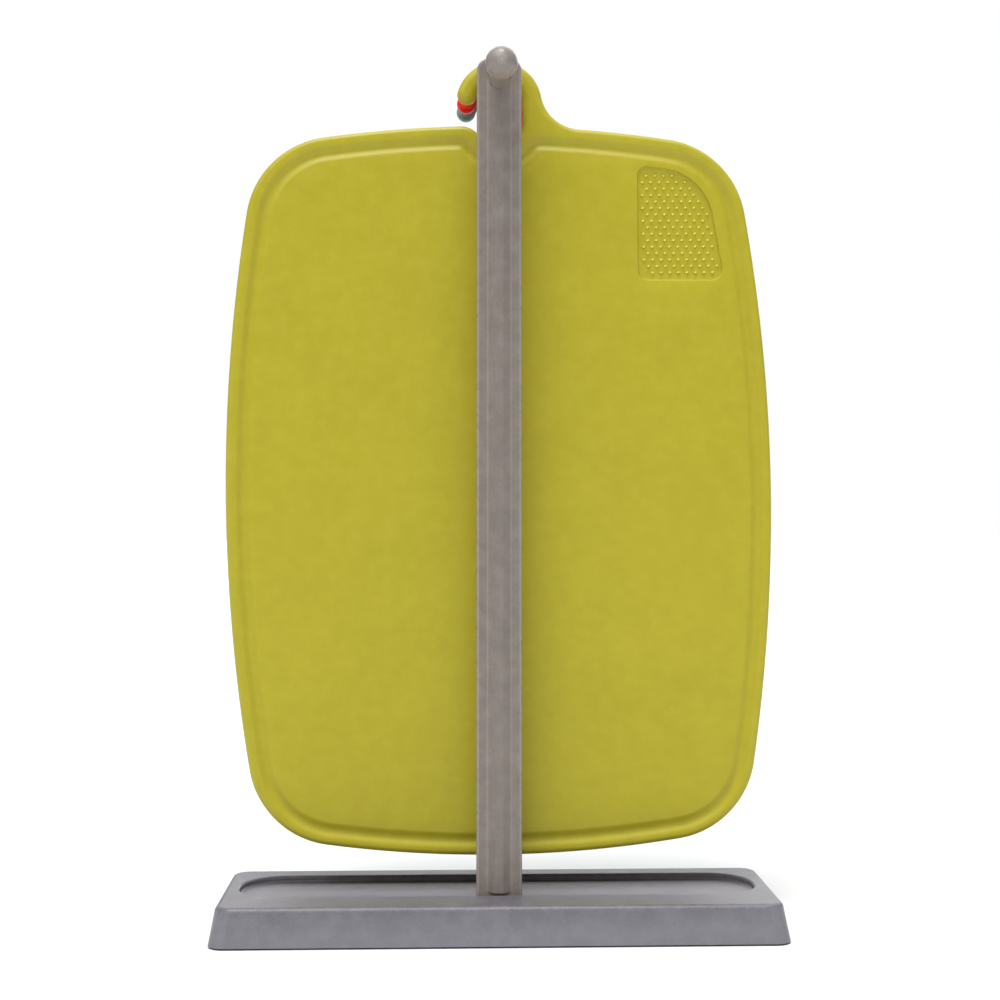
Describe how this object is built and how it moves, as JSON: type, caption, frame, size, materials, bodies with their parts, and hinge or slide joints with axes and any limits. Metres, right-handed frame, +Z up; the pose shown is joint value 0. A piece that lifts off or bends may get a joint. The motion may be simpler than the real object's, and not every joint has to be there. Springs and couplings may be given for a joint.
{
  "type": "cutting board set with hanging stand",
  "caption": "Rounded plastic cutting boards with hook handles, juice grooves and grater patches, hanging from the ball-ended arm of a stand with a drip-tray base.",
  "frame": {"origin": "on the table, under the middle of the bounding box", "axes": "+Z up; +X to the right along the base, seen from the front; the upright is at the front (-Y) and the boards hang behind it (+Y)"},
  "size_m": [0.2624, 0.1124, 0.4098],
  "materials": {
    "base_plastic": "satin moulded grey plastic",
    "cover_plastic": "matt moulded dark grey plastic",
    "ballast_steel": "plain rolled steel",
    "screw_steel": "zinc plated",
    "upright_plastic": "satin moulded warm grey plastic",
    "foot_rubber": "matt",
    "board_green_plastic": "satin moulded yellow-green polypropylene",
    "board_red_plastic": "satin moulded red polypropylene",
    "board_teal_plastic": "satin moulded teal polypropylene"
  },
  "bodies": {
    "stand": {"base_shell": "base_plastic", "base_cover": "cover_plastic", "ballast_left": "ballast_steel", "ballast_right": "ballast_steel", "cover_screws": "screw_steel", "upright_screws": "screw_steel", "upright": "upright_plastic", "foot_front_left": "foot_rubber", "foot_front_right": "foot_rubber", "foot_rear_left": "foot_rubber", "foot_rear_right": "foot_rubber"},
    "green_board": {"board_green": "board_green_plastic"},
    "red_board": {"board_red": "board_red_plastic"},
    "teal_board": {"board_teal": "board_teal_plastic"}
  },
  "joints": [
    {"name": "green_board_swing", "type": "hinge", "parent": "stand", "child": "green_board", "pos_m": [0.0006, 0.00255, 0.38933], "axis": [0, 1, 0], "range_deg": [-70, 70]},
    {"name": "red_board_swing", "type": "hinge", "parent": "stand", "child": "red_board", "pos_m": [0.0006, 0.02005, 0.38933], "axis": [0, 1, 0], "range_deg": [-70, 70]},
    {"name": "teal_board_swing", "type": "hinge", "parent": "stand", "child": "teal_board", "pos_m": [0.0006, 0.03755, 0.38933], "axis": [0, 1, 0], "range_deg": [-70, 70]}
  ]
}
